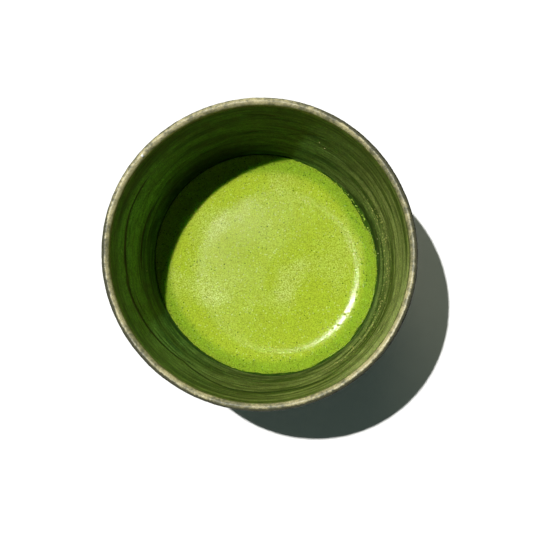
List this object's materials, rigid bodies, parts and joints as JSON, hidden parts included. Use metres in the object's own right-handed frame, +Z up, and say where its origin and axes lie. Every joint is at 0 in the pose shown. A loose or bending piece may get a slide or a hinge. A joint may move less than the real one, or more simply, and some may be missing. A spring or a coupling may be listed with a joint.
{
  "type": "matcha bowl",
  "caption": "Round stoneware tea bowl with steep glazed walls, a pale lip and a low foot ring, holding whisked green tea under a layer of froth.",
  "frame": {"origin": "centre of the foot ring's underside, on the surface that the bowl stands on", "axes": "+Z up along the bowl's axis; +X and +Y are any two level directions, because the bowl is round"},
  "size_m": [0.12, 0.12, 0.076],
  "materials": {
    "stoneware": "matte",
    "outer_glaze": "satin",
    "rim_glaze": "satin",
    "inner_glaze": "satin",
    "tea": "gloss",
    "froth": "satin"
  },
  "bodies": {
    "root": {"stoneware_body": "stoneware", "outer_glaze": "outer_glaze", "rim_glaze": "rim_glaze", "inner_glaze": "inner_glaze", "tea": "tea", "froth": "froth"}
  },
  "joints": []
}
